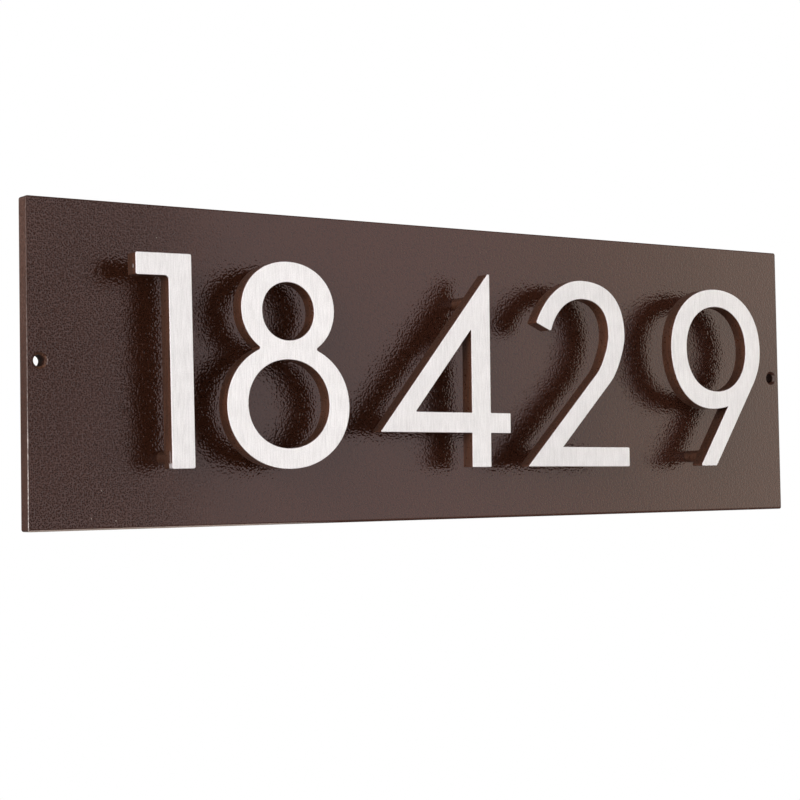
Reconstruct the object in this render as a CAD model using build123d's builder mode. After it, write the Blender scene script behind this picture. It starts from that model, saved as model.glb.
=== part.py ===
from build123d import *
import os
from math import atan2, cos, degrees, radians, sin, tan

# House number plaque: a painted plate that is screwed flat to a wall, with five cast numerals
# that stand clear of it on posts. Sizes in mm. +Z is up and the front faces -Y; the origin is
# the middle of the plate's back face, which lies on the wall.

# Plate
plate_length = 482.6
plate_height = 152.4
plate_thickness = 7.94
plate_corner_round = 1.2
plate_edge_round = 0.7

# Holes for the two wall screws, opened out towards the front and a little above the middle
wall_hole_diameter = 5.5
wall_sink_diameter = 8.0
wall_hole_inset = 6.35
wall_hole_rise = 1.3
sink_angle = 90.0

# Numerals, drawn from one height and five stroke widths
numeral_height = 99.6
numeral_thickness = 7.94
standoff = 12.7
stem = numeral_height * 0.121
bar = numeral_height * 0.104
round_side = numeral_height * 0.116
round_cap = numeral_height * 0.099
slope = numeral_height * 0.100
corner_round = 0.8
notch_round = 0.9
tip_round = 0.35
flag_round = 2.0
face_edge_round = 0.3

# Where each numeral's own centre line sits: across and up from the plate's middle, and the
# small turn in degrees it was set with
seat_1 = (plate_length * -0.3591, 1.2, 0.6)
seat_8 = (plate_length * -0.2381, 0.5, 0.0)
seat_4 = (plate_length * 0.0031, 0.3, -0.45)
seat_2 = (plate_length * 0.1401, 0.0, -0.5)
seat_9 = (plate_length * 0.3529, -0.4, 0.0)

# Posts cast in one with the numerals, thinner towards the plate
post_diameter = 7.0
post_draft = 1.2
post_inset = 5.4

# Countersunk machine screws, from the plate's back into the posts
screw_diameter = 4.0
screw_head_diameter = 7.6
screw_length = 16.0
screw_sunk = 0.3
socket_across_flats = 2.5
socket_depth = 1.6
thread_gap = 0.05
shank_gap = 0.2
seat_gap = 0.02
tapped_depth = 10.5

# Levels shared by all numerals, from the middle of their height
top = numeral_height / 2
base = -top

# One: the flag's reach beyond the stem
one_flag = numeral_height * 0.169

# Eight: half widths of the two rings, and the level and height of the bar they share
eight_low_half = numeral_height * 0.346
eight_high_half = numeral_height * 0.263
eight_waist = numeral_height * 0.073
eight_waist_bar = numeral_height * 0.092
eight_overlap = numeral_height * 0.067
eight_fullness = 0.574

# Four: reaches from the stem's centre line, the bar's level, the flat on the apex
four_left = numeral_height * 0.635
four_right = numeral_height * 0.191
four_level = numeral_height * -0.272
four_apex = numeral_height * 0.012
four_post = numeral_height * 0.357

# Two: half the base, the hook's top and right side, the cut end of the hook, the slant
two_half = numeral_height * 0.356
two_top = numeral_height * 0.033
two_right = numeral_height * 0.332
two_right_level = numeral_height * 0.213
two_slant = 45.9
two_cut_outer = (numeral_height * -0.290, numeral_height * 0.261)
two_cut_inner = (numeral_height * -0.191, numeral_height * 0.220)
two_outer_rise = 66.0
two_inner_rise = 72.0
two_fullness = 0.645
two_turn_fullness = 0.46
two_cut_fullness = 0.63

# Nine: the ring's half width and levels, the tail's foot and slant
nine_half = numeral_height * 0.348
nine_level = numeral_height * 0.161
nine_low = (numeral_height * -0.038, numeral_height * -0.179)
nine_foot = numeral_height * -0.018
nine_slant = 56.6
nine_fullness = 0.59
nine_foot_round = 1.6


def seat_plane(seat, depth):
    """The plane of a numeral's drawing, that far in front of the wall."""
    across, up, turn = seat
    angle = radians(turn)
    return Plane(origin=(across, -depth, up), x_dir=(cos(angle), 0, sin(angle)), z_dir=(0, -1, 0))


def shoulder(start, corner, end, fullness):
    """A round stretch between two points, pulled towards the corner where their tangents cross."""
    first, pull, last = Vector(*start), Vector(*corner), Vector(*end)
    return Bezier(first, first + (pull - first) * fullness, last + (pull - last) * fullness, last)


def ring(half, high, low, fullness):
    """A closed round outline about the centre line, between two levels."""
    middle = (high + low) / 2
    shoulder((half, middle), (half, high), (0, high), fullness)
    shoulder((0, high), (-half, high), (-half, middle), fullness)
    shoulder((-half, middle), (-half, low), (0, low), fullness)
    shoulder((0, low), (half, low), (half, middle), fullness)


def along(start, angle, rise):
    """The point reached from another along a slant, that much higher."""
    return (start[0] + rise / tan(radians(angle)), start[1] + rise)


def turn_into(edge, level, foot, angle):
    """Where an upright side turns into a slanted stroke: the tangents' corner and the turn's end."""
    corner = along(foot, angle, (edge - foot[0]) * tan(radians(angle)))
    reach = level - corner[1]
    end = (corner[0] - reach * cos(radians(angle)), corner[1] - reach * sin(radians(angle)))
    return corner, end


def circles(plane, spots, radius):
    """Equal circles at several places on a plane."""
    with BuildSketch(plane) as sketch:
        with Locations(*spots):
            Circle(radius)
    return sketch.sketch


def round_face(numeral):
    """Breaks the edge all round a numeral's front face."""
    fillet(numeral.faces().sort_by(Axis.Y)[0].edges(), face_edge_round)


def add_posts(seat, spots):
    """A numeral's posts, with the blind tapped holes in their feet."""
    foot = seat_plane(seat, plate_thickness)
    extrude(circles(foot, spots, post_foot_radius), standoff, taper=-post_draft)
    extrude(circles(foot, spots, tapped_radius), tapped_depth, mode=Mode.SUBTRACT)


face_depth = plate_thickness + standoff
post_radius = post_diameter / 2
post_foot_radius = post_radius - standoff * tan(radians(post_draft))
tapped_radius = screw_diameter / 2 + thread_gap

# Posts of each numeral, in its own drawing
posts_1 = [(0, top - post_inset), (0, base + post_inset)]
posts_8 = [(0, top - round_cap / 2), (0, base + round_cap / 2)]
posts_4 = [(0, four_post), (0, four_level)]
posts_2 = [(two_top, top - round_cap / 2), (0, base + bar / 2)]
nine_foot_middle = nine_foot - slope / sin(radians(nine_slant)) / 2
posts_9 = [(0, top - round_cap / 2), along((nine_foot_middle, base), nine_slant, post_inset)]

# Numeral 1
with BuildPart() as numeral_1:
    with BuildSketch(seat_plane(seat_1, face_depth)) as drawing:
        with BuildLine():
            Polyline(
                (-stem / 2 - one_flag, top),
                (stem / 2, top),
                (stem / 2, base),
                (-stem / 2, base),
                (-stem / 2, top - bar),
                (-stem / 2 - one_flag, top - bar),
                close=True,
            )
        make_face()
        inner = drawing.vertices().sort_by_distance((-stem / 2, top - bar))[0]
        fillet(inner, flag_round)
        outer = [v for v in drawing.vertices() if abs(v.X + stem / 2) > flag_round * 1.5 or v.Y < 0]
        fillet(outer, corner_round)
    extrude(amount=numeral_thickness)
    round_face(numeral_1)
    add_posts(seat_1, posts_1)

# Numeral 8
eight_waist_high = eight_waist + eight_waist_bar / 2
eight_waist_low = eight_waist - eight_waist_bar / 2
with BuildPart() as numeral_8:
    with BuildSketch(seat_plane(seat_8, face_depth)) as drawing:
        with BuildLine():
            ring(eight_low_half, eight_waist + eight_overlap / 2, base, eight_fullness)
        make_face()
        with BuildLine():
            ring(eight_high_half, top, eight_waist - eight_overlap / 2, eight_fullness)
        make_face()
        waist = [v for v in drawing.vertices() if abs(v.Y - eight_waist) < eight_overlap / 2]
        fillet(waist, notch_round)
        with BuildLine():
            ring(eight_low_half - round_side, eight_waist_low, base + round_cap, eight_fullness)
        make_face(mode=Mode.SUBTRACT)
        with BuildLine():
            ring(eight_high_half - round_side, top - round_cap, eight_waist_high, eight_fullness)
        make_face(mode=Mode.SUBTRACT)
    extrude(amount=numeral_thickness)
    round_face(numeral_8)
    add_posts(seat_8, posts_8)

# Numeral 4
four_high = four_level + bar / 2
four_low = four_level - bar / 2
four_slant = degrees(atan2(top - four_low, stem / 2 - four_apex + four_left))
four_inner = (slope / sin(radians(four_slant)) - four_left, four_low)
with BuildPart() as numeral_4:
    with BuildSketch(seat_plane(seat_4, face_depth)) as drawing:
        with BuildLine():
            Polyline(
                (-four_left, four_low),
                (stem / 2 - four_apex, top),
                (stem / 2, top),
                (stem / 2, four_high),
                (four_right, four_high),
                (four_right, four_low),
                (stem / 2, four_low),
                (stem / 2, base),
                (-stem / 2, base),
                (-stem / 2, four_low),
                close=True,
            )
        make_face()
        fillet(drawing.vertices(), tip_round)
        with BuildLine():
            Polyline(
                along(four_inner, four_slant, bar),
                along(four_inner, four_slant, (-stem / 2 - four_inner[0]) * tan(radians(four_slant))),
                (-stem / 2, four_high),
                close=True,
            )
        make_face(mode=Mode.SUBTRACT)
        counter = [v for v in drawing.vertices() if four_inner[0] < v.X < 0 and v.Y > four_high - tip_round]
        fillet(counter, tip_round)
    extrude(amount=numeral_thickness)
    round_face(numeral_4)
    add_posts(seat_4, posts_4)

# Numeral 2
two_inner_right = two_right - round_side
two_inner_top = top - round_cap
two_point = (-two_half, base)
two_heel = along((slope / sin(radians(two_slant)) - two_half, base), two_slant, bar)
two_outer_corner, two_outer_end = turn_into(two_right, two_right_level, two_heel, two_slant)
two_inner_corner, two_inner_end = turn_into(two_inner_right, two_right_level, two_point, two_slant)
two_crown = (two_top, top)
two_inner_crown = (two_top, two_inner_top)
two_side = (two_right, two_right_level)
two_inner_side = (two_inner_right, two_right_level)
two_outer_pull = along(two_cut_outer, two_outer_rise, top - two_cut_outer[1])
two_inner_pull = along(two_cut_inner, two_inner_rise, two_inner_top - two_cut_inner[1])
with BuildPart() as numeral_2:
    with BuildSketch(seat_plane(seat_2, face_depth)) as drawing:
        with BuildLine():
            shoulder(two_cut_outer, two_outer_pull, two_crown, two_cut_fullness)
            shoulder(two_crown, (two_right, top), two_side, two_fullness)
            shoulder(two_side, two_outer_corner, two_outer_end, two_turn_fullness)
            Polyline(
                two_outer_end,
                two_heel,
                (two_half, base + bar),
                (two_half, base),
                two_point,
                two_inner_end,
            )
            shoulder(two_inner_end, two_inner_corner, two_inner_side, two_turn_fullness)
            shoulder(two_inner_side, (two_inner_right, two_inner_top), two_inner_crown, two_fullness)
            shoulder(two_inner_crown, two_inner_pull, two_cut_inner, two_cut_fullness)
            Line(two_cut_inner, two_cut_outer)
        make_face()
        ends = [v for v in drawing.vertices() if v.X > two_half - bar and v.Y < base + 2 * bar]
        cut = [v for v in drawing.vertices() if v.X < two_cut_inner[0] + bar / 4 and v.Y > 0]
        fillet(ends + cut, corner_round)
        point = drawing.vertices().sort_by_distance(two_point)[0]
        fillet(point, tip_round)
    extrude(amount=numeral_thickness)
    round_face(numeral_2)
    add_posts(seat_2, posts_2)

# Numeral 9
nine_right_foot = (nine_foot, base)
nine_left_foot = (nine_foot - slope / sin(radians(nine_slant)), base)
nine_corner, nine_turn_end = turn_into(nine_half, nine_level, nine_right_foot, nine_slant)
nine_counter_low = nine_low[1] + round_cap
with BuildPart() as numeral_9:
    with BuildSketch(seat_plane(seat_9, face_depth)) as drawing:
        with BuildLine():
            shoulder((nine_half, nine_level), (nine_half, top), (0, top), nine_fullness)
            shoulder((0, top), (-nine_half, top), (-nine_half, nine_level), nine_fullness)
            shoulder((-nine_half, nine_level), (-nine_half, nine_low[1]), nine_low, nine_fullness)
            shoulder(nine_low, (nine_half, nine_low[1]), (nine_half, nine_level), nine_fullness)
        make_face()
        with BuildLine():
            shoulder((nine_half, nine_level), nine_corner, nine_turn_end, nine_fullness)
            tail_head = along(nine_left_foot, nine_slant, nine_low[1] + round_cap / 2 - base)
            Polyline(nine_turn_end, nine_right_foot, nine_left_foot, tail_head, (nine_half, nine_level))
        make_face()
        right_foot = drawing.vertices().sort_by_distance(nine_right_foot)[0]
        fillet(right_foot, nine_foot_round)
        left_foot = drawing.vertices().sort_by_distance(nine_left_foot)[0]
        fillet(left_foot, corner_round)
        with BuildLine():
            ring(nine_half - round_side, top - round_cap, nine_counter_low, nine_fullness)
        make_face(mode=Mode.SUBTRACT)
    extrude(amount=numeral_thickness)
    round_face(numeral_9)
    add_posts(seat_9, posts_9)

# Centres of all posts on the plate
post_seats = [(seat_1, posts_1), (seat_8, posts_8), (seat_4, posts_4), (seat_2, posts_2), (seat_9, posts_9)]
post_centres = []
for seat, spots in post_seats:
    for spot in spots:
        post_centres.append(seat_plane(seat, 0).from_local_coords((spot[0], spot[1], 0)))

# Plate
screw_hole_radius = screw_diameter / 2 + shank_gap
screw_head_radius = screw_head_diameter / 2
screw_sink_radius = screw_head_radius + screw_sunk + seat_gap
with BuildPart() as back_plate:
    with BuildSketch(Plane.XZ):
        RectangleRounded(plate_length, plate_height, plate_corner_round)
    extrude(amount=plate_thickness)
    front = back_plate.faces().sort_by(Axis.Y)[0]
    back = back_plate.faces().sort_by(Axis.Y)[-1]
    fillet(front.edges() + back.edges(), plate_edge_round)
    with Locations(Plane((0, -plate_thickness, wall_hole_rise), x_dir=(1, 0, 0), z_dir=(0, -1, 0))):
        with GridLocations(plate_length - 2 * wall_hole_inset, 0, 2, 1):
            CounterSinkHole(wall_hole_diameter / 2, wall_sink_diameter / 2, counter_sink_angle=sink_angle)
    with Locations(*[Plane(origin=centre, z_dir=(0, 1, 0)) for centre in post_centres]):
        CounterSinkHole(screw_hole_radius, screw_sink_radius, counter_sink_angle=sink_angle)

# Screws that hold the numerals
screw_starts = [centre + Vector(0, -screw_sunk, 0) for centre in post_centres]
screw_planes = [Plane(origin=start, z_dir=(0, -1, 0)) for start in screw_starts]
screw_radius = screw_diameter / 2
head_height = (screw_head_radius - screw_radius) / tan(radians(sink_angle / 2))
with BuildPart() as fixing_screws:
    with Locations(*screw_planes):
        Cone(screw_head_radius, screw_radius, head_height, align=(Align.CENTER, Align.CENTER, Align.MIN))
        Cylinder(screw_radius, screw_length, align=(Align.CENTER, Align.CENTER, Align.MIN))
    shank_ends = fixing_screws.faces().filter_by(Axis.Y).group_by(Axis.Y)[0]
    chamfer(shank_ends.edges(), screw_diameter / 10)
    with BuildSketch(*screw_planes):
        RegularPolygon(socket_across_flats / 2, 6, major_radius=False)
    extrude(amount=socket_depth, mode=Mode.SUBTRACT)

# One labelled file for each piece
pieces = {
    "back_plate": back_plate,
    "numeral_1": numeral_1,
    "numeral_8": numeral_8,
    "numeral_4": numeral_4,
    "numeral_2": numeral_2,
    "numeral_9": numeral_9,
    "fixing_screws": fixing_screws,
}
os.makedirs("parts", exist_ok=True)
for name, piece in pieces.items():
    piece.part.label = name
    export_step(piece.part, f"parts/{name}.step")
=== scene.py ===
from math import cos, pi, radians, sin

import bpy
from mathutils import Matrix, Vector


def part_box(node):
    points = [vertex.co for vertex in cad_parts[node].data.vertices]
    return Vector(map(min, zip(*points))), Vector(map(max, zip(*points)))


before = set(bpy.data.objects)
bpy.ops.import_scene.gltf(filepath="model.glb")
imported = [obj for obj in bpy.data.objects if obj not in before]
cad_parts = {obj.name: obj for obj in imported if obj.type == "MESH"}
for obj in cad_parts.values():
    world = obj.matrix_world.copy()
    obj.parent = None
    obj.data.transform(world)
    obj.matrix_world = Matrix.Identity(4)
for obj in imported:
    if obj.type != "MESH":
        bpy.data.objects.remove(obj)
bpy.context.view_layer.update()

# House number plaque: a dark brown, gloss coated plate with brushed numerals on posts, in a
# white studio. Metres, in the CAD frame: +Z up, the front faces -Y, the wall is at y = 0.
mm = 0.001

# Each numeral with a brightness for its brushed face and for its painted sides: painted light and
# shade that stands in for how differently each one is lit
numerals = (
    ("numeral_1", 1.04, 0.81),
    ("numeral_8", 1.10, 1.12),
    ("numeral_4", 1.02, 1.05),
    ("numeral_2", 0.95, 1.25),
    ("numeral_9", 0.965, 0.94),
)
plate_low, plate_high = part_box("back_plate")
plate_front = plate_low.y
numeral_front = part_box("numeral_1")[0].y

# Colours, linear
coat_brown = (0.031, 0.0104, 0.0057, 1.0)
coat_brown_light = (0.036, 0.0124, 0.0070, 1.0)
# Lighter brown towards the right is painted light
coat_brown_lit_right = (0.0405, 0.0140, 0.0084, 1.0)
# Painted shade for the ripple's troughs, the pits and the depths of the wall holes
coat_painted_shade = (0.016, 0.0058, 0.0034, 1.0)
coat_sheen = (1.0, 0.87, 0.86, 1.0)
cast_brown = (0.039, 0.0162, 0.0093, 1.0)
cast_brown_red = (0.065, 0.0256, 0.0142, 1.0)
# Painted shade on numeral sides that face up
cast_painted_shade = (0.012, 0.0060, 0.0034, 1.0)
bare_metal = (0.84, 0.836, 0.842, 1.0)
bare_metal_dull = (0.60, 0.597, 0.601, 1.0)
edge_metal = (0.50, 0.45, 0.46, 1.0)
mark_metal = (0.27, 0.245, 0.245, 1.0)
# Edge metal: partly wear, partly painted highlight; along the lower edge a painted glint, with chips
rubbed_metal_and_highlight = (0.55, 0.50, 0.48, 1.0)
rim_glint_and_wear = (0.34, 0.27, 0.23, 1.0)
end_brown = (0.060, 0.028, 0.020, 1.0)
# Painted light in the right sink, and orange-brown spots in the left sink
sink_painted_light = (0.11, 0.08, 0.068, 1.0)
sink_orange = (0.090, 0.043, 0.027, 1.0)
dust = (0.26, 0.22, 0.19, 1.0)
zinc = (0.56, 0.56, 0.57, 1.0)
zinc_dull = (0.40, 0.39, 0.38, 1.0)
white = (1.0, 1.0, 1.0, 1.0)
warm = (1.0, 0.90, 0.78, 1.0)
rosy = (1.0, 0.89, 0.89, 1.0)
tan = (1.0, 0.84, 0.78, 1.0)

# The pairs and fours below are ranges for Graph.fade: where it starts and ends and, where that is
# not 0 and 1, what it goes from and to. Most of a noise lies in the first, its middle in the second.
noise_span = (0.30, 0.70)
noise_middle = (0.35, 0.65)

# Gloss coat: the waves of its ripple over a wide swell, its mottling and its smears. Painted shade
# darkens the ripple's troughs. Towards the right painted light makes it lighter, and its ripple is
# flatter.
ripple_width = 0.95 * mm
ripple_depth = 0.195 * mm
ripple_depth_right = 0.175 * mm
ripple_change = (plate_low.x * 0.5, plate_high.x * 0.5)
trough_painted_shade = (0.50, 0.30, 0.0, 0.5)
swell_width = 6.0 * mm
swell_depth = 0.03 * mm
mottle_width = 28 * mm
brown_light_change = (plate_low.x * 0.6, 0.0, 0.0, 0.8)
smear_width = 18 * mm

# Fine pits in the coat's front, stronger towards the left end. They mirror less, and painted shade
# darkens them. Their size is a share of the spacing.
pit_spacing = 1.00 * mm
pit_unevenness = 0.8
pit_size = (0.45, 0.15)
pit_painted_shade = 0.8
pit_stretch_left = (-0.120, -0.195)
pit_skin = (0.3 * mm, 0.1 * mm)

# How strongly the coat mirrors, more towards the right as painted reflection that stands in for
# brighter light there, and its roughness
mirror_coat = 0.525
mirror_coat_right = 0.620
mirror_change = (0.07, 0.26)
mirror_pit = 0.02
mirror_dry = 0.15
mirror_sink = 0.35
rough_coat = (0.02, 0.05)
rough_hole = 0.6
rough_edge = 0.5
rough_wear_and_glint = 0.4
wear_and_glint_metallic = 0.5

# Wear of the plate and painted glints: chips along its front edges, a line down its left end that
# is faint at the top and is partly wear and partly painted highlight, and a painted glint along the
# left of its lower edge
chip_width = 0.8 * mm
chip_stretch = (1.0, 1.0, 1.8)
end_line_width = (0.46 * mm, 0.28 * mm)
rim_line_width = (0.80 * mm, 0.62 * mm)
left_end = (plate_low.x * 0.96, plate_low.x * 0.99)
end_line_top = (0.030, 0.005, 0.08, 0.17)
end_line_low = (-0.022, -0.034, 0.0, 0.25)
end_line_chips = (0.35, 0.65, 0.55, 1.30)
rim_line_left = (-0.070, -0.130, 0.0, 0.9)
nick_chips = (0.72, 0.80, 0.0, 0.4)
lower_half = (0.0, -0.05)

# Dry, dull band along the plate's front edges, wider along the lower one
dry_width = (0.75 * mm, 0.5 * mm)
dry_width_low = (1.35 * mm, 1.05 * mm)

# Upper part of the plate's end faces, where the coat is lighter in spots
end_skin = (0.10 * mm, 0.02 * mm)
end_light_rise = (-0.02, 0.05)
spot_chips = (0.35, 0.60)

# Wall holes, dry inside, with painted shade deep in them. In the right one it starts just below its
# sink, which is lighter beside the bore as painted light. In the left one it starts only further in,
# and its sink is lighter and orange-brown in spots.
hole_place = (0.23495, 0.0, 0.0013)
hole_rim = 4.1 * mm
hole_wall = (hole_rim, hole_rim * 0.96)
hole_lip = (0.05 * mm, 0.4 * mm)
hole_shade_left = 4.0 * mm
hole_shade_right = 1.3 * mm
hole_shade_blur = (0.0, 1.0 * mm)
sink_depth = (1.5 * mm, 1.2 * mm)
sink_lit_spread = (2.4 * mm, 1.2 * mm)
right_half = (-0.1, 0.1)
left_half = (0.1, -0.1)

# Specks of dust that set in the coat
speck_places = ((-0.20477, -0.0581), (-0.21007, -0.07088), (-0.19758, -0.07221), (-0.17481, 0.0606))
speck_radius = 0.40 * mm
speck_round = (speck_radius, speck_radius * 0.3)
speck_height = 0.1 * mm
speck_skin = (0.2 * mm, 0.05 * mm)

# Face of a numeral: brush lines that run up it, over a fine grain and clouds, each with its share
# of the dullness, and the uneven line where the paint starts
brush_width = 0.30 * mm
brush_stretch = (1.0, 1.0, 26.0)
brush_depth = 0.012 * mm
brush_dull = 0.5
grain_width = 0.55 * mm
grain_dull = 0.35
cloud_width = 9 * mm
cloud_dull = 0.12
face_rough = (0.44, 0.52)
face_metallic = 0.1
ragged_width = 0.9 * mm
ragged_depth = 0.35 * mm
paint_line = (0.22 * mm, 0.12 * mm)
broken_edge = (0.02 * mm, 0.10 * mm)

# Painted sides of a numeral: cast skin, streaks, the redder zone next to the face, and painted shade
# that darkens the sides that face up
skin_width = 1.3 * mm
skin_depth = 0.10 * mm
streak_width = 1.2 * mm
streak_stretch = (1.0, 1.0, 14.0)
streak_red = (0.44, 0.66)
thin_paint = (5.0 * mm, 0.0, 0.0, 0.18)
side_up_painted_shade = (0.15, 0.60, 0.0, 0.42)
side_rough = (0.26, 0.40)

# Bare marks on the left of the one: its lower corner, a scrape above it and a nick in the flag.
# Each has its place, half width, half height, depths behind the face and strength. The other
# numerals are out of their reach.
one_marks = (
    ((-0.1795, -0.0475), 3.0 * mm, 1.5 * mm, -1.0 * mm, 3.4 * mm, 1.0),
    ((-0.1795, -0.0435), 3.0 * mm, 3.2 * mm, 1.6 * mm, 2.7 * mm, 0.35),
    ((-0.1965, 0.0445), 3.0 * mm, 0.9 * mm, 2.2 * mm, 3.2 * mm, 0.5),
)
mark_raggedness = 0.8
mark_edge = (1.5, 1.2)
mark_blur = 0.2 * mm

# Screws
screw_cloud_width = 1.6 * mm
screw_grain_width = 0.25 * mm
screw_grain_depth = 0.01 * mm
screw_rough = (0.28, 0.45)

# Camera, as the photograph was taken
camera_place = (-0.604184, -0.808232, -0.056073)
camera_turn = radians(35.3985)
camera_tilt = radians(2.4241)
camera_roll = radians(-0.9691)
camera_lens = 86.339
sensor_width = 36.0

# Studio: brightness of the surroundings by their bearing, in degrees from straight ahead of the
# plaque, positive to its right
bearings = (
    (-180, 0.24, tan),
    (-160, 0.24, tan),
    (-150, 0.28, tan),
    (-132, 0.75, white),
    (-112, 3.40, white),
    (-88, 3.40, white),
    (-60, 1.20, white),
    (-40, 0.35, white),
    (-15, 0.20, white),
    (16, 0.20, white),
    (20, 0.25, white),
    (28, 1.38, rosy),
    (31, 1.56, rosy),
    (40, 1.57, rosy),
    (44, 1.70, warm),
    (48, 2.00, warm),
    (60, 2.20, warm),
    (75, 1.60, white),
    (100, 0.80, white),
    (180, 0.24, tan),
)

# Brightness that a ramp's full white stands for
brightest = 3.4

# The walls are darker above and below the plaque's level
level_near = radians(15)
level_far = radians(33)
level_dark = 0.35

# Large soft lamp, in front on the left
lamp_bearing = radians(-64)
lamp_height = radians(10)
lamp_inside = radians(18)
lamp_outside = radians(38)
lamp_strength = 5.5

# Reflector board in front on the right, which only the gloss mirrors: its brightness along the
# plaque, and a darker round gap in it, which the plaque's left end mirrors
board_distance = 0.45
board_left, board_right = -0.40, 2.20
board_low, board_high = -0.80, 0.90
board_stops = (
    (-0.40, 1.35, rosy),
    (-0.20, 1.64, rosy),
    (0.02, 1.62, rosy),
    (0.11, 1.50, rosy),
    (0.28, 1.55, rosy),
    (0.42, 1.52, rosy),
    (0.50, 1.59, warm),
    (0.68, 1.68, warm),
    (1.00, 1.90, warm),
    (2.20, 1.60, white),
)
gap_place = (-0.062, 0.025)
gap_size = (0.110, 0.150)
gap_blur = (0.65, 1.0)
gap_dark = 0.60

# Pale floor, well below the plaque, which goes over into the white far away
floor_drop = 0.37
floor_radius = 6.0
floor_corners = 96
floor_near = 0.45
floor_far = 1.10
floor_pale = (0.70, 0.70, 0.69, 1.0)


class Graph:
    """Empties a node tree, then adds nodes to it and joins them, with short calls."""

    def __init__(self, tree):
        self.tree = tree
        tree.nodes.clear()

    def add(self, kind, inputs=None, **settings):
        node = self.tree.nodes.new(kind)
        for name, value in settings.items():
            setattr(node, name, value)
        for key, value in (inputs or {}).items():
            self.put(node.inputs[key], value)
        return node

    def put(self, socket, value):
        if isinstance(value, bpy.types.NodeSocket):
            self.tree.links.new(value, socket)
        else:
            socket.default_value = value

    def math(self, operation, first, second=0.0, third=0.0):
        inputs = {0: first, 1: second, 2: third}
        return self.add("ShaderNodeMath", inputs, operation=operation).outputs[0]

    def product(self, first, *others):
        """All the values multiplied."""
        for other in others:
            first = self.math("MULTIPLY", first, other)
        return first

    def vector_math(self, operation, *inputs):
        """A node's vector, or its number for a distance, a length or a dot product."""
        node = self.add("ShaderNodeVectorMath", dict(enumerate(inputs)), operation=operation)
        is_number = operation in ("DISTANCE", "LENGTH", "DOT_PRODUCT")
        return node.outputs["Value" if is_number else "Vector"]

    def combine(self, x, y, z):
        """A vector from its three numbers."""
        return self.add("ShaderNodeCombineXYZ", {0: x, 1: y, 2: z}).outputs[0]

    def fade(self, value, start, end, low=0.0, high=1.0):
        """Goes smoothly from low to high while the value goes from start to end."""
        inputs = {"Value": value, "From Min": start, "From Max": end, "To Min": low, "To Max": high}
        node = self.add("ShaderNodeMapRange", inputs, interpolation_type="SMOOTHSTEP")
        return node.outputs["Result"]

    def noise(self, place, width, detail, stretch=(1.0, 1.0, 1.0)):
        """Noise with grains of that width, drawn out along an axis where stretch is over 1."""
        scale = tuple(1.0 / (width * s) for s in stretch)
        scaled = self.vector_math("MULTIPLY", place, scale)
        inputs = {"Vector": scaled, "Scale": 1.0, "Detail": detail}
        return self.add("ShaderNodeTexNoise", inputs).outputs["Fac"]

    def colour(self, factor, first, second):
        """A mix of two colours. A Mix node has sockets for each type, so these go by number."""
        node = self.add("ShaderNodeMix", {"Factor": factor}, data_type="RGBA")
        self.put(node.inputs[6], first)
        self.put(node.inputs[7], second)
        return node.outputs[2]

    def value(self, factor, first, second):
        """A mix of two numbers."""
        node = self.add("ShaderNodeMix", {"Factor": factor}, data_type="FLOAT")
        self.put(node.inputs[2], first)
        self.put(node.inputs[3], second)
        return node.outputs[0]

    def bump(self, height, depth, under=None):
        """A bumped normal, over another one where it is given."""
        node = self.add("ShaderNodeBump", {"Height": height, "Distance": depth, "Strength": 1.0})
        if under is not None:
            self.put(node.inputs["Normal"], under)
        return node.outputs["Normal"]

    def place(self):
        """A point's place in the CAD frame, as a vector and as its three numbers."""
        vector = self.add("ShaderNodeTexCoord").outputs["Object"]
        parts = self.add("ShaderNodeSeparateXYZ", {0: vector})
        return vector, parts.outputs[0], parts.outputs[1], parts.outputs[2]


def empty_material(name):
    """A material without nodes, and its graph."""
    material = bpy.data.materials.new(name)
    material.use_nodes = True
    return material, Graph(material.node_tree)


def surface_material(name):
    """A material with its graph and its surface shader."""
    material, graph = empty_material(name)
    shader = graph.add("ShaderNodeBsdfPrincipled")
    graph.add("ShaderNodeOutputMaterial", {"Surface": shader.outputs["BSDF"]})
    return material, graph, shader


class PlatePoint:
    """A point of the plate: its place, its distances from the plate's edges, how far it is in the
    lower half, and the noise of the chips there."""

    def __init__(self, g):
        self.vector, self.x, self.y, self.z = g.place()
        self.from_end = g.math("SUBTRACT", plate_high.x, g.math("ABSOLUTE", self.x))
        self.from_rim = g.math("SUBTRACT", plate_high.z, g.math("ABSOLUTE", self.z))
        self.from_front = g.math("SUBTRACT", self.y, plate_front)
        self.low = g.fade(self.z, *lower_half)
        self.chips = g.noise(self.vector, chip_width, detail=3.0, stretch=chip_stretch)


def worn_and_glinting_edges(g, at):
    """How far the front edges are worn and painted with highlights and glints, and their colour."""
    end_edge = g.fade(g.math("MAXIMUM", at.from_end, at.from_front), *end_line_width)
    rim_edge = g.fade(g.math("MAXIMUM", at.from_rim, at.from_front), *rim_line_width)
    left = g.fade(at.x, *left_end)
    strength = g.math("ADD", g.fade(at.z, *end_line_top), g.fade(at.z, *end_line_low))
    end_wear_and_highlight = g.product(left, strength, g.fade(at.chips, *end_line_chips))
    rim_glint = g.product(at.low, g.fade(at.x, *rim_line_left))
    nicks = g.fade(at.chips, *nick_chips)
    end_edge_wear_and_highlight = g.product(end_edge, g.math("MAXIMUM", end_wear_and_highlight, nicks))
    rim_edge_wear_and_glint = g.product(rim_edge, g.math("MAXIMUM", rim_glint, nicks))
    return g.math("MAXIMUM", end_edge_wear_and_highlight, rim_edge_wear_and_glint), g.colour(rim_edge_wear_and_glint, rubbed_metal_and_highlight, rim_glint_and_wear)


def dry_edges(g, at):
    """How dry the coat is along the plate's front edges."""
    edge = g.math("MAXIMUM", g.fade(at.from_end, *dry_width), g.fade(at.from_rim, *dry_width))
    edge = g.math("MAXIMUM", edge, g.product(at.low, g.fade(at.from_rim, *dry_width_low)))
    return g.product(edge, g.fade(at.from_front, *dry_width))


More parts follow.
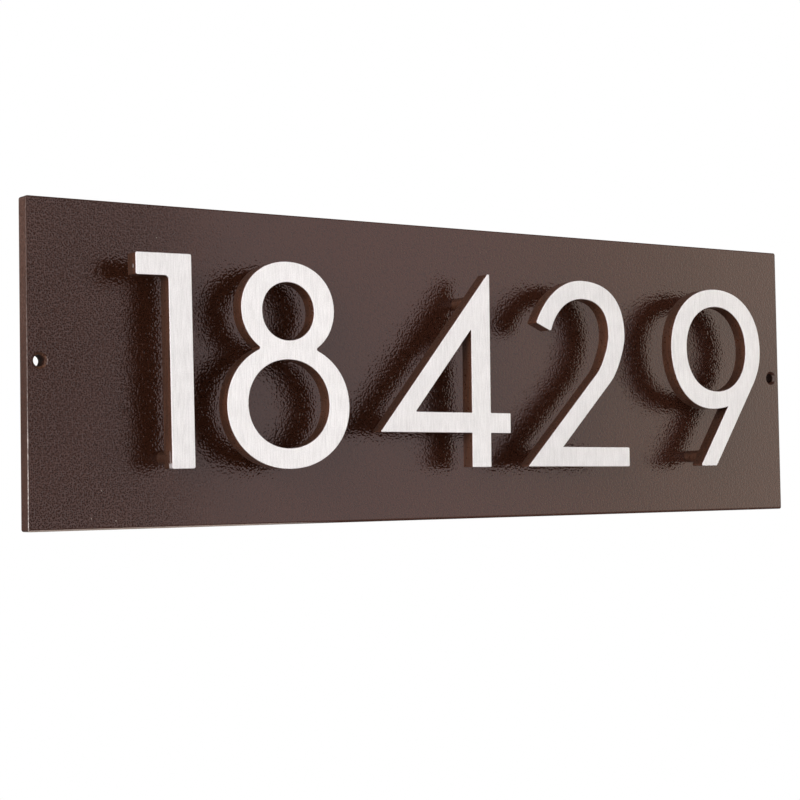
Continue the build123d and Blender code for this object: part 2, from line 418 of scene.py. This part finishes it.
def wall_holes(g, at):
    """The wall holes' insides, the painted shade in their depths, the right sink's painted light beside
    the bore, and the left sink's orange-brown spots.
    """
    across = g.combine(g.math("ABSOLUTE", at.x), 0.0, at.z)
    from_hole = g.vector_math("DISTANCE", across, hole_place)
    inside = g.fade(from_hole, *hole_wall)
    in_hole = g.product(inside, g.fade(at.from_front, *hole_lip))
    right = g.fade(at.x, *right_half)
    left = g.fade(at.x, *left_half)
    shade_start = g.math("MULTIPLY_ADD", right, hole_shade_right - hole_shade_left, hole_shade_left)
    below_start = g.math("SUBTRACT", at.from_front, shade_start)
    deep_shade = g.product(inside, g.fade(below_start, *hole_shade_blur))
    sink = g.product(in_hole, g.fade(at.from_front, *sink_depth))
    beside = g.fade(g.math("ABSOLUTE", g.math("SUBTRACT", at.z, hole_place[2])), *sink_lit_spread)
    sink_lit = g.product(sink, beside, right)
    sink_spots = g.product(sink, left, g.fade(at.chips, *spot_chips))
    return in_hole, deep_shade, sink_lit, sink_spots


def dust_specks(g, at):
    """Small round specks on the plate's front."""
    flat = g.combine(at.x, 0.0, at.z)
    specks = 0.0
    for speck_x, speck_z in speck_places:
        away = g.vector_math("DISTANCE", flat, (speck_x, 0.0, speck_z))
        specks = g.math("MAXIMUM", g.fade(away, *speck_round), specks)
    return g.product(specks, g.fade(at.from_front, *speck_skin))


def fine_pits(g, at):
    """Pits on the plate's front, stronger towards its left end."""
    flat = g.combine(at.x, at.z, 0.0)
    inputs = {"Vector": flat, "Scale": 1.0 / pit_spacing, "Randomness": pit_unevenness}
    dots = g.add("ShaderNodeTexVoronoi", inputs, voronoi_dimensions="2D").outputs["Distance"]
    left = g.fade(at.x, *pit_stretch_left)
    return g.product(g.fade(dots, *pit_size), left, g.fade(at.from_front, *pit_skin))


def make_coat():
    """The plate's gloss coat: dark brown, rippled, rubbed to the metal along the front edges, with
    painted light and shade.
    """
    material, g, shader = surface_material("brown_gloss_coat")
    at = PlatePoint(g)
    wear_and_glint, bare = worn_and_glinting_edges(g, at)
    dry = dry_edges(g, at)
    in_hole, deep_shade, right_sink_lit, left_sink_spots = wall_holes(g, at)
    specks = dust_specks(g, at)
    pits = fine_pits(g, at)
    waves = g.noise(at.vector, ripple_width, detail=0.0)

    # Colour
    mottle = g.noise(at.vector, mottle_width, detail=3.0)
    brown = g.colour(g.fade(mottle, *noise_middle), coat_brown, coat_brown_light)
    # Lighter towards the right: painted light
    brown = g.colour(g.fade(at.x, *brown_light_change), brown, coat_brown_lit_right)
    # Painted shade in the ripple's troughs and in the pits
    brown = g.colour(g.fade(waves, *trough_painted_shade), brown, coat_painted_shade)
    brown = g.colour(g.product(pits, pit_painted_shade), brown, coat_painted_shade)
    end_face = g.product(g.fade(at.from_end, *end_skin), g.fade(at.z, *end_light_rise))
    brown = g.colour(g.product(end_face, g.fade(at.chips, *spot_chips)), brown, end_brown)
    # Painted light beside the right hole's bore, orange-brown spots in the left sink, painted shade deep
    # in both holes
    brown = g.colour(right_sink_lit, brown, sink_painted_light)
    brown = g.colour(left_sink_spots, brown, sink_orange)
    brown = g.colour(deep_shade, brown, coat_painted_shade)
    brown = g.colour(specks, brown, dust)
    # The edges' metal colour is partly wear, partly painted highlight and glint
    g.put(shader.inputs["Base Color"], g.colour(wear_and_glint, brown, bare))
    g.put(shader.inputs["Metallic"], g.product(wear_and_glint, wear_and_glint_metallic))

    # Gloss
    smears = g.noise(at.vector, smear_width, detail=4.0)
    rough = g.fade(smears, *noise_span, *rough_coat)
    rough = g.value(in_hole, rough, rough_hole)
    rough = g.value(dry, rough, rough_edge)
    g.put(shader.inputs["Roughness"], g.value(wear_and_glint, rough, rough_wear_and_glint))
    # Mirrors more towards the right: painted reflection
    mirror = g.fade(at.x, *mirror_change, mirror_coat, mirror_coat_right)
    mirror = g.value(pits, mirror, mirror_pit)
    mirror_low = g.value(right_sink_lit, mirror_dry, mirror_sink)
    mirror = g.value(g.math("MAXIMUM", in_hole, dry), mirror, mirror_low)
    g.put(shader.inputs["Specular IOR Level"], mirror)
    shader.inputs["Specular Tint"].default_value = coat_sheen

    # Relief
    swell = g.bump(g.noise(at.vector, swell_width, detail=1.0), swell_depth)
    depth = g.fade(at.x, *ripple_change, ripple_depth, ripple_depth_right)
    ripple = g.bump(waves, depth, swell)
    g.put(shader.inputs["Normal"], g.bump(specks, speck_height, ripple))
    return material


def shaded(colour, shade):
    """A colour made lighter or darker, and opaque."""
    return tuple(part * shade for part in colour[:3]) + (1.0,)


def bare_marks(g, x, z, behind_face, ragged):
    """Ragged bare spots on the left side of the one."""
    flat = g.combine(x, 0.0, z)
    marks = 0.0
    for place, half_width, half_height, near, far, strength in one_marks:
        offset = g.vector_math("SUBTRACT", flat, (place[0], 0.0, place[1]))
        share = g.vector_math("DIVIDE", offset, (half_width, 1.0, half_height))
        reach = g.vector_math("LENGTH", share)
        spot = g.fade(g.math("ADD", reach, g.product(ragged, mark_raggedness)), *mark_edge)
        front = g.fade(behind_face, near - mark_blur, near + mark_blur)
        back = g.fade(behind_face, far + mark_blur, far - mark_blur)
        marks = g.math("MAXIMUM", g.product(spot, front, back, strength), marks)
    return marks


def make_numeral(name, face_painted_light, side_painted_light):
    """A cast numeral: front face ground and brushed upright, the rest brown with a rougher skin."""
    material, g, shader = surface_material("brushed_" + name)
    vector, x, y, z = g.place()

    # Bare on the face and round its broken edge, with an uneven line where the paint starts
    ragged = g.noise(vector, ragged_width, detail=3.0)
    behind_face = g.math("SUBTRACT", y, numeral_front)
    paint_start = g.product(ragged, ragged_depth)
    face = g.fade(g.math("SUBTRACT", behind_face, paint_start), *paint_line)
    marks = bare_marks(g, x, z, behind_face, ragged)
    bare = g.math("MAXIMUM", face, marks)

    # Short brush lines run up the face, over a fine grain and duller clouds
    lines = g.noise(vector, brush_width, detail=3.0, stretch=brush_stretch)
    grain = g.noise(vector, grain_width, detail=2.0)
    clouds = g.noise(vector, cloud_width, detail=3.0)
    dull = g.fade(lines, *noise_span, 0.0, brush_dull)
    dull = g.math("ADD", dull, g.fade(grain, *noise_span, 0.0, grain_dull))
    dull = g.math("ADD", dull, g.fade(clouds, *noise_middle, 0.0, cloud_dull))
    # The face's brightness for this numeral is painted light
    metal = g.colour(dull, shaded(bare_metal, face_painted_light), shaded(bare_metal_dull, face_painted_light))
    metal = g.colour(g.fade(behind_face, *broken_edge), metal, edge_metal)
    metal_rough = g.fade(clouds, *noise_span, *face_rough)

    # Cast skin under the paint, redder towards the face where the grinding thinned it, and painted shade
    # that darkens the sides that face up
    skin = g.noise(vector, skin_width, detail=4.0)
    streaks = g.noise(vector, streak_width, detail=3.0, stretch=streak_stretch)
    red = g.fade(g.math("ADD", streaks, g.fade(behind_face, *thin_paint)), *streak_red)
    # The sides' brightness for this numeral is painted light and shade
    paint = g.colour(red, shaded(cast_brown, side_painted_light), shaded(cast_brown_red, side_painted_light))
    facing = g.add("ShaderNodeTexCoord").outputs["Normal"]
    up = g.add("ShaderNodeSeparateXYZ", {0: facing}).outputs[2]
    paint = g.colour(g.fade(up, *side_up_painted_shade), paint, cast_painted_shade)
    paint = g.colour(marks, paint, mark_metal)
    paint_rough = g.fade(skin, *noise_span, *side_rough)

    normal = g.add("ShaderNodeMix", {"Factor": bare}, data_type="VECTOR")
    g.put(normal.inputs[4], g.bump(skin, skin_depth))
    g.put(normal.inputs[5], g.bump(lines, brush_depth))
    g.put(shader.inputs["Base Color"], g.colour(face, paint, metal))
    g.put(shader.inputs["Metallic"], g.product(bare, face_metallic))
    g.put(shader.inputs["Roughness"], g.value(bare, paint_rough, metal_rough))
    shader.inputs["Specular Tint"].default_value = coat_sheen
    g.put(shader.inputs["Normal"], normal.outputs[1])
    return material


def make_screw():
    """Zinc plated steel, a little uneven."""
    material, g, shader = surface_material("zinc_plated_steel")
    vector = g.place()[0]
    clouds = g.noise(vector, screw_cloud_width, detail=4.0)
    grain = g.noise(vector, screw_grain_width, detail=2.0)
    g.put(shader.inputs["Base Color"], g.colour(g.fade(clouds, *noise_span), zinc, zinc_dull))
    shader.inputs["Metallic"].default_value = 1.0
    g.put(shader.inputs["Roughness"], g.fade(clouds, *noise_span, *screw_rough))
    g.put(shader.inputs["Normal"], g.bump(grain, screw_grain_depth))
    return material


def dress(node, material):
    """Gives a CAD node its finish."""
    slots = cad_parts[node].data.materials
    slots.clear()
    slots.append(material)


def make_floor():
    """A pale round floor that takes the plaque's shadow and goes over into the white far away."""
    level = plate_low.z - floor_drop
    bpy.ops.mesh.primitive_circle_add(
        vertices=floor_corners, radius=floor_radius, fill_type="NGON", location=(0, 0, level))
    floor = bpy.context.object
    floor.name = "floor"

    material, g = empty_material("pale_floor")
    vector = g.add("ShaderNodeTexCoord").outputs["Object"]
    far = g.fade(g.vector_math("LENGTH", vector), floor_near, floor_far)
    path = g.add("ShaderNodeLightPath")
    matt = g.add("ShaderNodeBsdfDiffuse", {"Color": floor_pale})
    glow = g.add("ShaderNodeEmission", {"Color": white})
    clear = g.add("ShaderNodeBsdfTransparent")
    seen = g.product(path.outputs["Is Camera Ray"], far)
    mirrored = g.product(path.outputs["Is Glossy Ray"], far)
    pale = g.add("ShaderNodeMixShader", {0: seen, 1: matt.outputs[0], 2: glow.outputs[0]})
    mix = g.add("ShaderNodeMixShader", {0: mirrored, 1: pale.outputs[0], 2: clear.outputs[0]})
    g.add("ShaderNodeOutputMaterial", {"Surface": mix.outputs[0]})
    floor.data.materials.append(material)


def fill_ramp(ramp, rows):
    """Sets a colour ramp's stops, each from its place, its brightness and its tint."""
    ramp.color_ramp.interpolation = "LINEAR"
    stops = ramp.color_ramp.elements
    for index, (position, strength, tint) in enumerate(rows):
        stop = stops[index] if index < len(stops) else stops.new(position)
        stop.position = position
        stop.color = shaded(tint, strength / brightest)


def make_studio():
    """Surroundings that are plain white to the camera, and otherwise have light panels on both sides."""
    world = bpy.data.worlds.new("studio")
    world.use_nodes = True
    g = Graph(world.node_tree)
    direction = g.add("ShaderNodeTexCoord").outputs["Generated"]
    parts = g.add("ShaderNodeSeparateXYZ", {0: direction})
    ahead = g.product(parts.outputs[1], -1.0)
    bearing = g.math("ARCTAN2", parts.outputs[0], ahead)

    # The ramp runs once round, with straight ahead in its middle
    ramp_place = g.math("MULTIPLY_ADD", bearing, 0.5 / pi, 0.5)
    ramp = g.add("ShaderNodeValToRGB", {"Fac": ramp_place})
    fill_ramp(ramp, [(degrees / 360 + 0.5, strength, tint) for degrees, strength, tint in bearings])
    rise = g.math("ARCSINE", g.math("ABSOLUTE", parts.outputs[2]))
    wall = g.fade(rise, level_near, level_far, brightest, brightest * level_dark)
    room = g.add("ShaderNodeBackground", {"Color": ramp.outputs["Color"], "Strength": wall})
    level = cos(lamp_height)
    lamp_axis = (sin(lamp_bearing) * level, -cos(lamp_bearing) * level, sin(lamp_height))
    towards = g.vector_math("DOT_PRODUCT", direction, lamp_axis)
    glow = g.fade(towards, cos(lamp_outside), cos(lamp_inside), 0.0, lamp_strength)
    lamp = g.add("ShaderNodeBackground", {"Color": white, "Strength": glow})
    panels = g.add("ShaderNodeAddShader", {0: room.outputs[0], 1: lamp.outputs[0]})
    plain = g.add("ShaderNodeBackground", {"Color": white, "Strength": 1.0})
    camera_ray = g.add("ShaderNodeLightPath").outputs["Is Camera Ray"]
    mix = g.add("ShaderNodeMixShader", {0: camera_ray, 1: panels.outputs[0], 2: plain.outputs[0]})
    g.add("ShaderNodeOutputWorld", {"Surface": mix.outputs[0]})
    bpy.context.scene.world = world


def make_board():
    """A reflector board that lights nothing and is mirrored in the gloss, from near by."""
    depth = plate_front - board_distance
    corners = [(board_left, depth, board_low), (board_right, depth, board_low),
               (board_right, depth, board_high), (board_left, depth, board_high)]
    mesh = bpy.data.meshes.new("board")
    mesh.from_pydata(corners, [], [(0, 1, 2, 3)])
    board = bpy.data.objects.new("board", mesh)
    bpy.context.scene.collection.objects.link(board)
    board.visible_camera = False
    board.visible_diffuse = False
    board.visible_shadow = False
    board.visible_transmission = False

    material, g = empty_material("board_white")
    material.cycles.emission_sampling = "NONE"
    _, x, _, z = g.place()
    span = board_right - board_left
    along = g.math("MULTIPLY_ADD", x, 1.0 / span, -board_left / span)
    ramp = g.add("ShaderNodeValToRGB", {"Fac": along})
    stops = [((place - board_left) / span, strength, tint) for place, strength, tint in board_stops]
    fill_ramp(ramp, stops)
    beside = g.math("DIVIDE", g.math("SUBTRACT", x, gap_place[0]), gap_size[0])
    above = g.math("DIVIDE", g.math("SUBTRACT", z, gap_place[1]), gap_size[1])
    reach = g.vector_math("LENGTH", g.combine(beside, 0.0, above))
    strength = g.fade(reach, *gap_blur, brightest * gap_dark, brightest)
    glow = g.add("ShaderNodeEmission", {"Color": ramp.outputs["Color"], "Strength": strength})
    g.add("ShaderNodeOutputMaterial", {"Surface": glow.outputs[0]})
    mesh.materials.append(material)


def make_camera():
    """The camera of the photograph."""
    data = bpy.data.cameras.new("camera")
    data.lens = camera_lens
    data.sensor_width = sensor_width
    camera = bpy.data.objects.new("camera", data)
    bpy.context.scene.collection.objects.link(camera)
    turn = Matrix.Rotation(-camera_turn, 4, "Z")
    tilt = Matrix.Rotation(pi / 2 + camera_tilt, 4, "X")
    roll = Matrix.Rotation(camera_roll, 4, "Z")
    camera.matrix_world = Matrix.Translation(camera_place) @ turn @ tilt @ roll
    bpy.context.scene.camera = camera


dress("back_plate", make_coat())
for numeral, face_painted_light, side_painted_light in numerals:
    dress(numeral, make_numeral(numeral, face_painted_light, side_painted_light))
dress("fixing_screws", make_screw())
make_floor()
make_studio()
make_board()
make_camera()
bpy.context.scene.view_settings.view_transform = "Standard"
